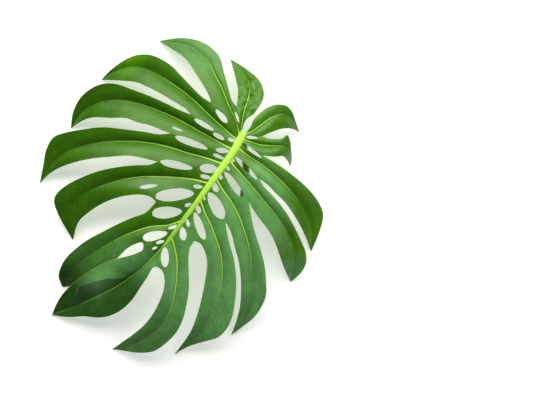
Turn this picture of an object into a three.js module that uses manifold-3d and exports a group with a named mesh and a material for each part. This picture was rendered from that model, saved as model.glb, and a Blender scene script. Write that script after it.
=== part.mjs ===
// Monstera leaf lying face up: one broad split blade with its midrib and side ribs, and its cut stalk.
// Millimetres, +Z up. The leaf is laid out with the stalk joint near X0 Y0 and the tip towards +Y, then
// moved so that the origin is the middle of its footprint on the surface it lies on.
import * as THREE from "three";
import { mergeGeometries, mergeVertices } from "three/addons/utils/BufferGeometryUtils.js";
import Module from "manifold-3d";

const bladeThickness = 1.2;
const ribDepth = 2.6;
const tipHeight = 1.3;
const webLift = 7;
const archHeight = 4;
const lobeRows = 14;
const webRows = 5;
const lobeColumns = 6;
const holeReach = 120;

const midribHalfWidth = 6.3;
const midribTaper = 1.45;
const midribTipHalfWidth = 0.7;
const midribTopShare = 0.35;
const midribKeelShare = 1.1;
const midribEndLength = 7;
const midribSteps = 20;
const midribCrowding = 1.5;

const stalkTopRadius = 5.2;
const stalkCutRadius = 6.2;
const stalkSteps = 16;
const roundSides = 10;

const bladeColour = 0x3f8a2e;
const stalkColour = 0x6f8f2a;

// The midrib's upper line from the stalk joint to the tip.
const midribLine = [
  [3, -4, 58], [-8, 28, 65], [-16, 66, 71], [-23, 104, 74], [-34, 166, 73], [-41, 215, 67],
  [-42, 265, 57], [-35, 315, 42], [-20, 364, 24], [5, 428, tipHeight],
];

// Lobes in order round the leaf, from one side of the notch at the stalk, by the tip, to the other side.
// root is the distance along the midrib where the lobe's rib leaves it. rib, before and after are points of
// the rib and of the lobe's two free edges, from the web outwards; tip ends all three. A larger bend keeps
// the lobe level for longer and turns it down more sharply.
const lobes = [
  {
    root: 5,
    bend: 2.0,
    rib: [[16, -12], [28, -29], [37, -45], [50, -60], [77, -71]],
    before: [[15, -48], [20, -62], [32, -73], [47, -78], [77, -76]],
    after: [[47, -31], [58, -42], [72, -51], [90, -61]],
    tip: [107, -70],
  },
  {
    root: 10,
    bend: 2.2,
    rib: [[24, -6], [48, -14], [76, -25], [100, -32], [125, -40], [153, -39], [179, -28]],
    before: [[51, -23], [69, -32], [98, -48], [114, -57], [132, -59], [153, -55], [173, -44], [190, -29]],
    after: [[82, -2], [101, -7], [126, -12], [151, -16], [179, -12]],
    tip: [208, -6],
  },
  {
    root: 18,
    bend: 2.4,
    rib: [[36, 17], [67, 19], [95, 20], [124, 24], [155, 31], [184, 40], [206, 57], [220, 80]],
    before: [[86, 7], [108, 8], [132, 8], [157, 8], [179, 13], [196, 21], [211, 36], [221, 59], [226, 84]],
    after: [[91, 39], [115, 45], [143, 53], [163, 60], [179, 67], [200, 83]],
    tip: [227, 106],
  },
  {
    root: 36,
    bend: 2.4,
    rib: [[28, 40], [56, 49], [89, 59], [118, 71], [149, 86], [177, 105], [198, 131], [208, 161]],
    before: [[96, 47], [121, 56], [150, 68], [177, 81], [197, 91], [214, 107], [223, 127], [225, 151],
      [218, 175]],
    after: [[90, 88], [112, 98], [129, 109], [146, 117], [167, 137], [189, 158], [198, 175]],
    tip: [204, 196],
  },
  {
    root: 64,
    bend: 2.3,
    rib: [[15, 70], [40, 85], [69, 101], [97, 121], [122, 144], [146, 171], [166, 200], [179, 232],
      [181, 261]],
    before: [[90, 96], [110, 111], [135, 131], [163, 155], [183, 181], [199, 204], [208, 224],
      [203, 247], [190, 268]],
    after: [[72, 135], [86, 144], [100, 155], [118, 176], [139, 202], [155, 227], [168, 254], [173, 274]],
    tip: [174, 294],
  },
  {
    root: 102,
    bend: 2.2,
    rib: [[0, 105], [21, 122], [42, 142], [62, 163], [78, 185], [93, 212], [105, 239], [111, 266],
      [103, 292]],
    before: [[66, 140], [82, 158], [99, 180], [115, 205], [128, 233], [137, 260], [139, 282],
      [135, 293], [117, 304]],
    after: [[28, 174], [41, 182], [54, 197], [67, 218], [77, 243], [82, 267], [83, 290]],
    tip: [70, 319],
  },
  {
    root: 174,
    bend: 2.0,
    rib: [[-22, 185], [-6, 205], [5, 225], [14, 247], [21, 272], [28, 297], [33, 326], [34, 354]],
    before: [[16, 196], [25, 217], [34, 242], [42, 268], [50, 296], [54, 326], [50, 352]],
    after: [[-14, 233], [-8, 243], [-3, 259], [0, 275], [7, 295], [14, 315], [19, 339], [22, 362]],
    tip: [26, 384],
  },
  {
    root: 224,
    bend: 1.6,
    rib: [],
    before: [[-23, 241], [-19, 254], [-10, 271], [0, 289], [8, 312], [14, 339], [17, 364], [17, 385],
      [13, 406]],
    after: [[-54, 247], [-59, 266], [-63, 286], [-68, 309], [-68, 332], [-62, 354], [-51, 371],
      [-34, 387], [-16, 409]],
    tip: [5, 428],
  },
  {
    root: 205,
    bend: 2.2,
    rib: [[-57, 203], [-74, 215], [-92, 233], [-108, 253], [-120, 273], [-128, 297], [-129, 326],
      [-121, 358]],
    before: [[-68, 241], [-80, 248], [-91, 261], [-100, 280], [-107, 302], [-110, 325], [-109, 348],
      [-106, 371]],
    after: [[-69, 180], [-80, 195], [-98, 212], [-117, 230], [-133, 251], [-146, 272], [-154, 295],
      [-155, 320],
      [-151, 344], [-135, 366], [-116, 383]],
    tip: [-103, 395],
  },
  {
    root: 130,
    bend: 2.4,
    rib: [[-47, 129], [-69, 136], [-90, 145], [-112, 156], [-131, 171], [-149, 192], [-164, 217],
      [-175, 246],
      [-181, 279]],
    before: [[-78, 168], [-93, 172], [-109, 183], [-125, 203], [-141, 226], [-156, 251], [-169, 279]],
    after: [[-95, 126], [-114, 137], [-131, 146], [-149, 159], [-166, 174], [-181, 191], [-196, 211],
      [-205, 232],
      [-206, 253], [-197, 273], [-185, 300]],
    tip: [-179, 327],
  },
  {
    root: 89,
    bend: 2.4,
    rib: [[-39, 84], [-61, 87], [-82, 92], [-104, 101], [-125, 111], [-146, 124], [-167, 142], [-185, 160],
      [-201, 179], [-213, 203]],
    before: [[-93, 119], [-106, 125], [-121, 134], [-138, 143], [-156, 156], [-174, 172], [-191, 190],
      [-205, 210]],
    after: [[-95, 76], [-109, 85], [-129, 96], [-152, 107], [-173, 119], [-192, 134], [-209, 150],
      [-218, 168],
      [-223, 190], [-222, 214]],
    tip: [-220, 239],
  },
  {
    root: 53,
    bend: 2.5,
    rib: [[-36, 46], [-64, 47], [-93, 49], [-123, 51], [-147, 54], [-170, 60], [-190, 70], [-207, 86]],
    before: [[-95, 71], [-113, 74], [-133, 76], [-151, 80], [-169, 87], [-186, 95], [-205, 103]],
    after: [[-81, 34], [-100, 34], [-122, 35], [-142, 38], [-165, 44], [-187, 51], [-206, 59],
      [-218, 70], [-224, 88]],
    tip: [-224, 109],
  },
  {
    root: 29,
    bend: 2.5,
    rib: [[-31, 18], [-55, 12], [-81, 9], [-108, 8], [-136, 10], [-160, 15], [-182, 25], [-197, 37]],
    before: [[-84, 28], [-102, 28], [-123, 27], [-145, 30], [-167, 35], [-189, 42]],
    after: [[-57, -2], [-77, -7], [-99, -11], [-122, -14], [-148, -14], [-168, -10], [-181, -3], [-193, 14],
      [-202, 31]],
    tip: [-211, 51],
  },
  {
    root: 13,
    bend: 5,
    rib: [[-17, 0], [-31, -8], [-44, -20], [-56, -32], [-66, -37], [-78, -30]],
    before: [[-50, -2], [-60, -11], [-68, -21], [-76, -22]],
    after: [[-31, -23], [-41, -32], [-47, -41], [-48, -49], [-57, -47], [-70, -38], [-81, -29]],
    tip: [-88, -20],
  },
  {
    root: 5,
    bend: 2.2,
    rib: [[-6, -15], [-8, -30], [-10, -48], [-15, -63], [-24, -72], [-38, -74]],
    before: [[-25, -26], [-29, -37], [-34, -49], [-42, -60], [-50, -66]],
    after: [[5, -57], [-2, -72], [-13, -81], [-26, -82], [-41, -76]],
    tip: [-58, -69],
  },
];

// Lines of undivided blade between neighbouring ribs, in the same order as the lobes: where each leaves the
// midrib and its points out to the inner end of the split. The first and last are the sides of the notch.
const webs = [
  { start: 1, points: [[10, -8], [14, -20], [12, -33]] },
  { start: 8, points: [[27, -11], [40, -22]] },
  { start: 13, points: [[44, 6], [71, 3]] },
  { start: 26, points: [[24, 31], [53, 35], [79, 39]] },
  { start: 49, points: [[13, 50], [46, 68], [79, 82]] },
  { start: 82, points: [[9, 87], [37, 110], [61, 128]] },
  { start: 138, points: [[-8, 151], [17, 173]] },
  { start: 202, points: [[-28, 217], [-20, 236]] },
  { start: 213, points: [[-50, 221], [-59, 242]] },
  { start: 163, points: [[-50, 165], [-69, 172]] },
  { start: 109, points: [[-52, 109], [-81, 116]] },
  { start: 71, points: [[-47, 67], [-83, 68]] },
  { start: 42, points: [[-41, 34], [-68, 31]] },
  { start: 20, points: [[-27, 10], [-45, 2]] },
  { start: 8, points: [[-13, -6], [-23, -19]] },
  { start: 1, points: [[1, -16], [6, -27], [7, -41]] },
];

// Holes through the webs beside the midrib and between the ribs: middle, length, width and direction.
const holes = [
  { at: [27, -11], size: [19, 4.2], turn: 155 },
  { at: [44, 6], size: [27, 9.5], turn: 179 },
  { at: [53, 35], size: [35, 8], turn: 16 },
  { at: [24, 31], size: [20, 7.5], turn: 18 },
  { at: [6, 20], size: [13, 6.3], turn: 32 },
  { at: [77, 70], size: [18, 4.2], turn: 26 },
  { at: [46, 69], size: [54, 11], turn: 26 },
  { at: [4, 42], size: [21, 8.5], turn: 42 },
  { at: [1, 53], size: [19, 5.5], turn: 25 },
  { at: [37, 110], size: [52, 12], turn: 34 },
  { at: [-2, 77], size: [28, 14.5], turn: 44 },
  { at: [-8, 90], size: [17, 7], turn: 35 },
  { at: [43, 165], size: [29, 6.6], turn: 53 },
  { at: [5, 144], size: [60, 19.5], turn: 51 },
  { at: [-11, 109], size: [15, 6.6], turn: 40 },
  { at: [-7, 172], size: [47, 18.5], turn: 50 },
  { at: [-21, 140], size: [11, 5.8], turn: 65 },
  { at: [-30, 181], size: [17, 5.7], turn: 63 },
  { at: [-20, 211], size: [40, 14.5], turn: 58 },
  { at: [-33, 212], size: [13, 5.4], turn: 62 },
  { at: [-55, 223], size: [32, 13], turn: 138 },
  { at: [-48, 177], size: [21, 11.5], turn: 141 },
  { at: [-41, 160], size: [13, 6], turn: 152 },
  { at: [-57, 150], size: [46, 12.5], turn: 157 },
  { at: [-37, 133], size: [14, 7.6], turn: 157 },
  { at: [-52, 109], size: [47, 19], turn: 166 },
  { at: [-30, 90], size: [17, 9.5], turn: 160 },
  { at: [-24, 73], size: [9, 6], turn: 150 },
  { at: [-47, 66], size: [49, 11.5], turn: 172 },
  { at: [-42, 34], size: [50, 8], turn: 0 },
  { at: [-27, 9], size: [39, 5.7], turn: 10 },
  { at: [-12, -5], size: [21, 4.7], turn: 42 },
];
const holeSides = 10;

// The stalk's middle line, from just under the base of the midrib to the cut end on the surface.
const stalkLine = [
  [1, 1, 52], [0, 2, 45], [-7, 8, 36.5], [-20, 18, 31], [-39, 33, 26], [-65, 62, 18.5], [-88, 91, 11.5],
  [-108, 118, 6.4],
];

const wasm = await Module();
wasm.setup();

function curveThrough(points) {
  return new THREE.CatmullRomCurve3(points.map((point) => new THREE.Vector3(...point)), false, "centripetal");
}

const midrib = curveThrough(midribLine);
const midribLength = midrib.getLength();
const tipLobe = lobes.find((lobe) => lobe.rib.length === 0);

function midribWidthAt(station) {
  const share = Math.max(0, 1 - station / midribLength);
  return midribTipHalfWidth + (midribHalfWidth - midribTipHalfWidth) * share ** midribTaper;
}

// A point on the midrib, moved sideways by half its half-width towards one side of the leaf.
function midribPoint(station, side = 0) {
  const share = station / midribLength;
  const along = midrib.getTangentAt(share);
  const outwards = new THREE.Vector3(along.y, -along.x, 0).normalize();
  return midrib.getPointAt(share).addScaledVector(outwards, (side * midribWidthAt(station)) / 2);
}

function planCurve(first, points, last = []) {
  const line = [[first.x, first.y], ...points, ...last];
  return curveThrough(line.map(([x, y]) => [x, y, 0]));
}

const tipNumber = lobes.indexOf(tipLobe);
lobes.forEach((lobe, number) => {
  const side = Math.sign(tipNumber - number);
  const [webBefore, webAfter] = [webs[number], webs[number + 1]];
  const start = midribPoint(lobe.root, side);
  const splitEnds = [webBefore, webAfter].map((web) => new THREE.Vector3(...web.points.at(-1), 0));
  lobe.height = start.z;
  lobe.ribCurve = planCurve(start, lobe.rib, [lobe.tip]);
  lobe.beforeCurve = planCurve(splitEnds[0], lobe.before, [lobe.tip]);
  lobe.afterCurve = planCurve(splitEnds[1], lobe.after, [lobe.tip]);
  const level = new THREE.Vector3(start.x, start.y, 0);
  const reach = (splitEnds[0].distanceTo(level) + splitEnds[1].distanceTo(level)) / 2;
  lobe.foot = reach / (lobe === tipLobe ? midribLength - lobe.root : lobe.ribCurve.getLength());
});

webs.forEach((web, number) => {
  const side = number <= tipNumber ? 1 : -1;
  web.first = midribPoint(web.start, side);
  web.curve = planCurve(web.first, web.points);
  web.lobes = [lobes[number - 1], lobes[number]].filter(Boolean);
});

// How far along its rib a lobe's row lies, as a share of the rib.
function ribShare(lobe, row) {
  if (row <= webRows) {
    return (lobe.foot * row) / webRows;
  }
  return lobe.foot + ((1 - lobe.foot) * (row - webRows)) / (lobeRows - webRows);
}

function ribPoint(lobe, row) {
  const share = ribShare(lobe, row);
  if (lobe === tipLobe) {
    return midribPoint(lobe.root + share * (midribLength - lobe.root));
  }
  const point = lobe.ribCurve.getPointAt(share);
  point.z = lobe.height + (tipHeight - lobe.height) * share ** lobe.bend;
  return point;
}

function webPoint(web, row) {
  const share = row / webRows;
  const point = web.curve.getPointAt(share);
  const neighbours = web.lobes.reduce((sum, lobe) => sum + ribPoint(lobe, row).z, 0) / web.lobes.length;
  point.z = web.first.z + (neighbours - web.first.z) * share + webLift * Math.sin((Math.PI / 2) * share);
  return point;
}

function edgePoint(lobe, row, isAfter) {
  const web = webs[lobes.indexOf(lobe) + (isAfter ? 1 : 0)];
  if (row <= webRows) {
    return webPoint(web, row);
  }
  const share = (row - webRows) / (lobeRows - webRows);
  const point = (isAfter ? lobe.afterCurve : lobe.beforeCurve).getPointAt(share);
  const lift = webPoint(web, webRows).z - ribPoint(lobe, webRows).z;
  point.z = ribPoint(lobe, row).z + lift * (1 - share ** 2);
  return point;
}

// One lobe with its half webs: a flat grid laid out from the rib to both edges, each half gently arched.
function lobeSurface(lobe) {
  const grid = new THREE.PlaneGeometry(2, lobeRows, lobeColumns, lobeRows);
  const position = grid.getAttribute("position");
  const depth = new Float32Array(position.count);
  for (let i = 0; i < position.count; i += 1) {
    const across = position.getX(i);
    const row = Math.round(position.getY(i) + lobeRows / 2);
    const share = Math.abs(across) ** 1.5;
    const point = ribPoint(lobe, row).lerp(edgePoint(lobe, row, across < 0), share);
    point.z += archHeight * Math.sin(Math.PI * share) * Math.sin((Math.PI * row) / lobeRows);
    position.setXYZ(i, point.x, point.y, point.z);
    depth[i] = bladeThickness + (across === 0 ? ribDepth * (1 - row / lobeRows) : 0);
  }
  grid.setAttribute("depth", new THREE.BufferAttribute(depth, 1));
  grid.deleteAttribute("normal");
  grid.deleteAttribute("uv");
  return grid;
}

// Joins surfaces along the edges they share and drops the triangles that close to a line at the tips.
function joined(surfaces) {
  const merged = mergeVertices(mergeGeometries(surfaces), 1e-3);
  const index = [];
  for (let i = 0; i < merged.index.count; i += 3) {
    const [a, b, c] = [0, 1, 2].map((corner) => merged.index.getX(i + corner));
    if (a !== b && b !== c && c !== a) {
      index.push(a, b, c);
    }
  }
  merged.setIndex(index);
  return merged;
}

// Gives a surface its thickness: a copy moved inwards along the normals, and walls round every open edge.
function thickened(surface) {
  surface.computeVertexNormals();
  const { position, normal, depth } = surface.attributes;
  const top = surface.index.array;
  const under = position.count;
  const points = [...position.array];
  for (let i = 0; i < under; i += 1) {
    points.push(
      position.getX(i) - normal.getX(i) * depth.getX(i),
      position.getY(i) - normal.getY(i) * depth.getX(i),
      position.getZ(i) - normal.getZ(i) * depth.getX(i),
    );
  }
  const edges = new Set();
  for (let i = 0; i < top.length; i += 3) {
    for (const [from, to] of [[0, 1], [1, 2], [2, 0]]) {
      edges.add(`${top[i + from]} ${top[i + to]}`);
    }
  }
  const index = [...top];
  for (let i = 0; i < top.length; i += 3) {
    index.push(top[i] + under, top[i + 2] + under, top[i + 1] + under);
  }
  for (const edge of edges) {
    const [from, to] = edge.split(" ").map(Number);
    if (!edges.has(`${to} ${from}`)) {
      index.push(to, from, from + under, to, from + under, to + under);
    }
  }
  const solid = new THREE.BufferGeometry();
  solid.setAttribute("position", new THREE.Float32BufferAttribute(points, 3));
  solid.setIndex(index);
  return solid;
}

// A closed round bar bent along a curve. A crowding above 1 sets its rings closer together at the start, and
// shape gives its side, top and bottom half-sizes at each share of the length.
function bar(curve, steps, crowding, shape) {
  const round = new THREE.CylinderGeometry(1, 1, 1, roundSides, steps);
  const position = round.getAttribute("position");
  for (let i = 0; i < position.count; i += 1) {
    const share = (position.getY(i) + 0.5) ** crowding;
    const along = curve.getTangentAt(share);
    const side = new THREE.Vector3(along.y, -along.x, 0).normalize();
    const up = new THREE.Vector3().crossVectors(side, along);
    const { width, top, bottom } = shape(share);
    const height = position.getZ(i) > 0 ? top : bottom;
    const point = curve.getPointAt(share);
    point.addScaledVector(side, position.getX(i) * width);
    point.addScaledVector(up, position.getZ(i) * height);
    position.setXYZ(i, point.x, point.y, point.z);
  }
  return round;
}

function solidOf(geometry) {
  const plain = geometry.clone();
  plain.deleteAttribute("normal");
  plain.deleteAttribute("uv");
  const merged = mergeVertices(plain, 1e-3);
  return new wasm.Manifold(
    new wasm.Mesh({
      numProp: 3,
      vertProperties: new Float32Array(merged.attributes.position.array),
      triVerts: new Uint32Array(merged.index.array),
    }),
  );
}

function geometryOf(solid) {
  const mesh = solid.getMesh();
  const geometry = new THREE.BufferGeometry();
  geometry.setAttribute("position", new THREE.BufferAttribute(mesh.vertProperties, 3));
  geometry.setIndex(new THREE.BufferAttribute(mesh.triVerts, 1));
  return geometry;
}

const sheet = solidOf(thickened(joined(lobes.map(lobeSurface))));

const cutters = holes.map(({ at, size, turn }) => {
  const cutter = new THREE.CylinderGeometry(0.5, 0.5, 2 * holeReach, holeSides);
  cutter.rotateX(Math.PI / 2);
  cutter.scale(size[0], size[1], 1);
  cutter.rotateZ(THREE.MathUtils.degToRad(turn));
  cutter.translate(at[0], at[1], 0);
  return solidOf(cutter);
});
const pierced = cutters.reduce((left, cutter) => left.subtract(cutter), sheet);

const midribBar = bar(midrib, midribSteps, midribCrowding, (share) => {
  const station = share * midribLength;
  const fromEnd = Math.max(0, 1 - station / midribEndLength);
  const width = midribWidthAt(station) * Math.sqrt(1 - 0.9 * fromEnd ** 2);
  return { width, top: width * midribTopShare, bottom: width * midribKeelShare };
});
const blade = pierced.add(solidOf(midribBar));

const stalk = bar(curveThrough(stalkLine), stalkSteps, 1, (share) => {
  const radius = stalkTopRadius + (stalkCutRadius - stalkTopRadius) * share;
  return { width: radius, top: radius, bottom: radius };
});

const leaf = new THREE.Group();
leaf.name = "monstera_leaf";
const pieces = [
  ["leaf_blade", geometryOf(blade), bladeColour],
  ["leaf_stalk", stalk, stalkColour],
];
for (const [name, geometry, colour] of pieces) {
  const material = new THREE.MeshStandardMaterial({ color: colour, roughness: 0.4, metalness: 0 });
  const mesh = new THREE.Mesh(geometry, material);
  mesh.name = name;
  leaf.add(mesh);
}

// The origin goes to the middle of the footprint, on the surface the leaf lies on.
const bounds = new THREE.Box3().setFromObject(leaf);
const middle = bounds.getCenter(new THREE.Vector3());
for (const mesh of leaf.children) {
  mesh.geometry.translate(-middle.x, -middle.y, -bounds.min.z);
}
export default leaf;
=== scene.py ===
import math
from bisect import bisect_right
import bmesh
import bpy
from mathutils import Matrix, Vector, noise


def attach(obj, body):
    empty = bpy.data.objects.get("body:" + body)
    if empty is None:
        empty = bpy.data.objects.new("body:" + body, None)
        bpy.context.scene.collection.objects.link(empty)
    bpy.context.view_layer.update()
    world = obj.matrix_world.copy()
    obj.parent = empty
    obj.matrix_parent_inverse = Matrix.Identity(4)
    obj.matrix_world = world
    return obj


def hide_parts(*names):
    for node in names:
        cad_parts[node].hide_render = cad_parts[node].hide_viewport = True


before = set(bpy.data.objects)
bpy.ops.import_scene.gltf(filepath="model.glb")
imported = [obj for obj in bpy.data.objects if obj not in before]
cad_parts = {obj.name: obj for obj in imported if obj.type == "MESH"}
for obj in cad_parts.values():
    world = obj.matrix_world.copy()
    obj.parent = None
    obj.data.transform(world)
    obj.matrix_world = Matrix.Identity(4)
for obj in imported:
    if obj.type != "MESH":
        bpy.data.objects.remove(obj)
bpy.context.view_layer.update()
bpy.ops.object.select_all(action="DESELECT")

# The leaf is laid out in millimetres from the stalk joint, then put in place. The points of the lobes, webs
# and holes were read by eye and turned into millimetres by a separate script; the CAD has nearly the same lists.
layout = {
    "scale": 0.001,
    "shift": (-0.0015, -0.173, -0.0002),
    "tipHeight": 1.3,      # the lobes' tips above the floor, mm
    "waveHeight": 1.3,     # slow swell of the whole blade, mm
    "waveLength": 70,
}

midribWay = [(3, -4, 58), (-8, 28, 65), (-16, 66, 71), (-23, 104, 74), (-34, 166, 73), (-41, 215, 67),
             (-42, 265, 57), (-35, 315, 42), (-20, 364, 24), (5, 428, 1.3)]

# One entry for each lobe, round the leaf. root is the distance along the midrib, bend says how late the lobe
# turns down, and rib, before and after run from the web to the tip.
lobes = [
    {"root": 5, "bend": 2.0, "tip": (107, -70),
     "rib": [(16, -12), (28, -29), (37, -45), (50, -60), (77, -71)],
     "before": [(15, -48), (20, -62), (32, -73), (47, -78), (77, -76)],
     "after": [(47, -31), (58, -42), (72, -51), (90, -61)]},
    {"root": 10, "bend": 2.2, "tip": (208, -6),
     "rib": [(24, -6), (48, -14), (76, -25), (100, -32), (125, -40), (153, -39), (179, -28)],
     "before": [(51, -23), (69, -32), (98, -48), (114, -57), (132, -59), (153, -55), (173, -44), (190, -29)],
     "after": [(82, -2), (101, -7), (126, -12), (151, -16), (179, -12)]},
    {"root": 18, "bend": 2.4, "tip": (227, 106),
     "rib": [(36, 17), (67, 19), (95, 20), (124, 24), (155, 31), (184, 40), (206, 57), (220, 80)],
     "before": [(86, 7), (108, 8), (132, 8), (157, 8), (179, 13), (196, 21), (211, 36), (221, 59), (226, 84)],
     "after": [(91, 39), (115, 45), (143, 53), (163, 60), (179, 67), (200, 83)]},
    {"root": 36, "bend": 2.4, "tip": (204, 196),
     "rib": [(28, 40), (56, 49), (89, 59), (118, 71), (149, 86), (177, 105), (198, 131), (208, 161)],
     "before": [(96, 47), (121, 56), (150, 68), (177, 81), (197, 91), (214, 107), (223, 127), (225, 151),
                (218, 175)],
     "after": [(90, 88), (112, 98), (129, 109), (146, 117), (167, 137), (189, 158), (198, 175)]},
    {"root": 64, "bend": 2.3, "tip": (174, 294), "valley": 0.85,
     "rib": [(15, 70), (40, 85), (69, 101), (97, 121), (122, 144), (146, 171), (166, 200), (179, 232),
             (181, 261)],
     "before": [(90, 96), (110, 111), (135, 131), (163, 155), (183, 181), (199, 204), (208, 224), (203, 247),
                (190, 268)],
     "after": [(72, 135), (86, 144), (100, 155), (118, 176), (139, 202), (155, 227), (168, 254), (173, 274)]},
    {"root": 102, "bend": 2.2, "tip": (70, 319), "valley": 0.55,
     "rib": [(0, 105), (21, 122), (42, 142), (62, 163), (78, 185), (93, 212), (105, 239), (111, 266),
             (103, 292)],
     "before": [(66, 140), (82, 158), (99, 180), (115, 205), (128, 233), (137, 260), (139, 282), (135, 293),
                (117, 304)],
     "after": [(28, 174), (41, 182), (54, 197), (67, 218), (77, 243), (82, 267), (83, 290)]},
    {"root": 174, "bend": 2.0, "tip": (26, 384),
     "rib": [(-22, 185), (-6, 205), (5, 225), (14, 247), (21, 272), (28, 297), (33, 326), (34, 354)],
     "before": [(16, 196), (25, 217), (34, 242), (42, 268), (50, 296), (54, 326), (53, 350),
                (43, 374)],
     "after": [(-14, 233), (-8, 243), (-4, 259), (-4, 278), (-1, 300), (4, 322), (9, 345), (14, 366)]},
    {"root": 224, "bend": 1.6, "tip": (5, 428),
     "rib": [],
     "before": [(-23, 241), (-19, 254), (-10, 271), (0, 289), (8, 312), (14, 339), (17, 364), (17, 385),
                (13, 406)],
     "after": [(-54, 247), (-59, 266), (-63, 286), (-68, 309), (-68, 332), (-62, 354), (-51, 371), (-34, 387),
               (-16, 409)]},
    {"root": 205, "bend": 2.2, "tip": (-103, 395),
     "rib": [(-57, 203), (-74, 215), (-92, 233), (-108, 253), (-120, 273), (-128, 297), (-129, 326),
             (-121, 358)],
     "before": [(-68, 241), (-80, 248), (-91, 261), (-100, 280), (-107, 302), (-110, 325), (-109, 348),
                (-106, 371)],
     "after": [(-69, 180), (-80, 195), (-98, 212), (-117, 230), (-133, 251), (-146, 272), (-154, 295),
               (-155, 320), (-151, 344), (-135, 366), (-116, 383)]},
    {"root": 130, "bend": 2.4, "tip": (-179, 327),
     "rib": [(-47, 129), (-69, 136), (-90, 145), (-112, 156), (-131, 171), (-149, 192), (-164, 217),
             (-175, 246), (-181, 279)],
     "before": [(-78, 168), (-93, 172), (-109, 183), (-125, 203), (-141, 226), (-156, 251), (-169, 279)],
     "after": [(-95, 126), (-114, 137), (-131, 146), (-149, 159), (-166, 174), (-181, 191), (-196, 211),
               (-205, 232), (-206, 253), (-197, 273), (-185, 300)]},
    {"root": 89, "bend": 2.4, "tip": (-220, 239),
     "rib": [(-39, 84), (-61, 87), (-82, 92), (-104, 101), (-125, 111), (-146, 124), (-167, 142),
             (-185, 160), (-201, 179), (-213, 203)],
     "before": [(-93, 119), (-106, 125), (-121, 134), (-138, 143), (-156, 156), (-174, 172), (-191, 190),
                (-205, 210)],
     "after": [(-95, 76), (-109, 85), (-129, 96), (-152, 107), (-173, 119), (-192, 134), (-209, 150),
               (-218, 168), (-223, 190), (-222, 214)]},
    {"root": 53, "bend": 2.5, "tip": (-224, 109),
     "rib": [(-36, 46), (-64, 47), (-93, 49), (-123, 51), (-147, 54), (-170, 60), (-190, 70), (-207, 86)],
     "before": [(-95, 71), (-113, 74), (-133, 76), (-151, 80), (-169, 87), (-186, 95), (-205, 103)],
     "after": [(-81, 34), (-100, 34), (-122, 35), (-142, 38), (-165, 44), (-187, 51), (-206, 59), (-218, 70),
               (-224, 88)]},
    {"root": 29, "bend": 2.5, "tip": (-211, 51),
     "rib": [(-31, 18), (-55, 12), (-81, 9), (-108, 8), (-136, 10), (-160, 15), (-182, 25), (-197, 37)],
     "before": [(-84, 28), (-102, 28), (-123, 27), (-145, 30), (-167, 35), (-189, 42)],
     "after": [(-57, -2), (-77, -7), (-99, -11), (-122, -14), (-148, -14), (-168, -10), (-181, -3),
               (-193, 14), (-202, 31)]},
    {"root": 13, "bend": 5.0, "tip": (-88, -20),
     "rib": [(-17, 0), (-31, -8), (-44, -20), (-56, -32), (-66, -37), (-78, -30)],
     "before": [(-50, -2), (-60, -11), (-68, -21), (-76, -22)],
     "after": [(-31, -23), (-41, -32), (-47, -41), (-48, -49), (-57, -47), (-70, -38), (-81, -29)]},
    {"root": 5, "bend": 2.2, "tip": (-58, -69),
     "rib": [(-6, -15), (-8, -30), (-10, -48), (-15, -63), (-24, -72), (-38, -74)],
     "before": [(-25, -26), (-29, -37), (-34, -49), (-42, -60), (-50, -66)],
     "after": [(5, -57), (-2, -72), (-13, -81), (-26, -82), (-41, -76)]},
]
tipLobe = 7       # the lobe that the midrib itself runs through
# The fold on one half of the tip lobe: share of the length, share of the half's width, height in mm.
foldWay = [(0.0, 0.1, 0), (0.18, 0.1, 0.5), (0.38, 0.14, 5), (0.46, 0.4, 8.5), (0.54, 0.53, 9),
           (0.62, 0.62, 8), (0.69, 0.7, 6.5), (0.75, 0.3, 3), (0.82, 0.2, 0.5), (1.0, 0.2, 0)]
foldedLobe = 6    # lies partly under the tip lobe
foldedDrop = 7    # how far its inner edge passes below, mm
foldRest = 0.46   # column of the tip lobe that follows the fold

# Lines of whole blade between neighbouring ribs: the start along the midrib, how strongly the blade rises
# there, then points to the split's end.
webs = [
    (1, 0.4, [(10, -8), (14, -20), (12, -33)]), (8, 0.15, [(27, -11), (40, -22)]),
    (13, 0.85, [(44, 6), (71, 3)]), (26, 1, [(24, 31), (53, 35), (79, 39)]),
    (49, 1, [(13, 50), (46, 68), (79, 82)]), (82, 1, [(9, 87), (37, 110), (61, 128)]),
    (138, 1, [(-8, 151), (17, 173)]), (202, 0.8, [(-28, 217), (-20, 236)]),
    (213, 0.6, [(-50, 221), (-59, 242)]), (163, 0.45, [(-50, 165), (-69, 172)]),
    (109, 0.45, [(-52, 109), (-81, 116)]), (71, 0.45, [(-47, 67), (-83, 68)]),
    (42, 0.6, [(-41, 34), (-68, 31)]), (20, 0.6, [(-27, 10), (-45, 2)]), (8, 0.3, [(-13, -6), (-23, -19)]),
    (1, 0.1, [(1, -16), (6, -27), (7, -41)]),
]

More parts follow.
